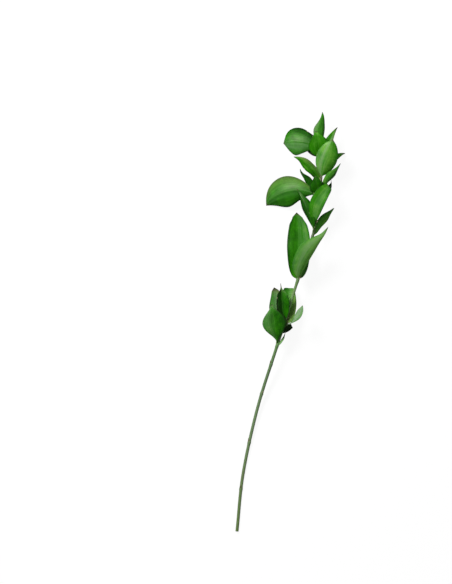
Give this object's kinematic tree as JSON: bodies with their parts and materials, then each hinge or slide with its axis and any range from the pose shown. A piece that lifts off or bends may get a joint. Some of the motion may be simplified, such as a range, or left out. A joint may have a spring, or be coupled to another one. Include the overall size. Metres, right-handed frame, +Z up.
{
  "type": "ruscus stem",
  "caption": "Cut stem of ruscus lying down: a long, thin, bare green stalk with broad pointed leathery leaves crowded along its upper half.",
  "frame": {"origin": "on the surface that the stem lies on, under the middle of the whole stem's bounding box", "axes": "+Y runs from the cut end towards the tip, +Z is up from the surface, +X is to the right as seen from above with the tip away from the viewer"},
  "size_m": [0.1605, 0.6114, 0.0583],
  "materials": {
    "leaf": "satin",
    "stalk": "matte"
  },
  "bodies": {
    "root": {"leafy_stem": "leaf"}
  },
  "joints": []
}
